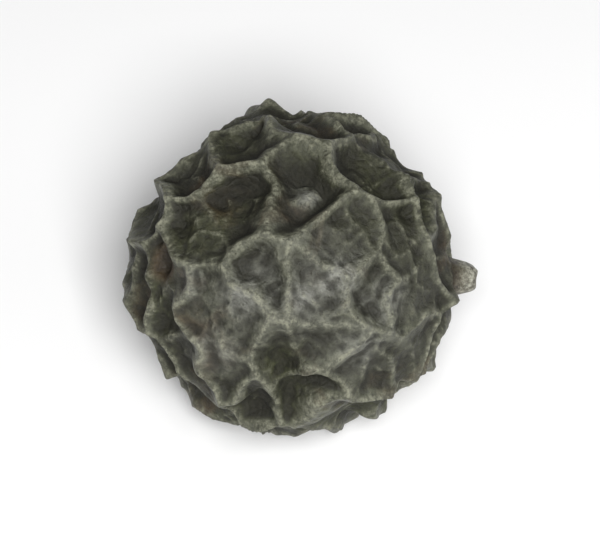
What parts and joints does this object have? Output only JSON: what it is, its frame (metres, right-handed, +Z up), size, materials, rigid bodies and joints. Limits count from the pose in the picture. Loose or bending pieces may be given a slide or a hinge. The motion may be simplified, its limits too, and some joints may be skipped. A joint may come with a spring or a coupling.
{
  "type": "black peppercorn",
  "caption": "Dried round peppercorn, its dark skin wrinkled into a raised net of ridges, with a withered tip and a stalk scar, lying on a small flat spot.",
  "frame": {"origin": "on the surface that the corn lies on, under the middle of its box", "axes": "+Z up; +X along the fruit's level axis towards the withered tip; -Y towards the side that the picture shows"},
  "size_m": [0.0054, 0.0052, 0.0049],
  "materials": {
    "dried_skin": "dry wrinkled skin, matt in the hollows and faintly glossy on the ridges"
  },
  "bodies": {
    "root": {"peppercorn": "dried_skin"}
  },
  "joints": []
}
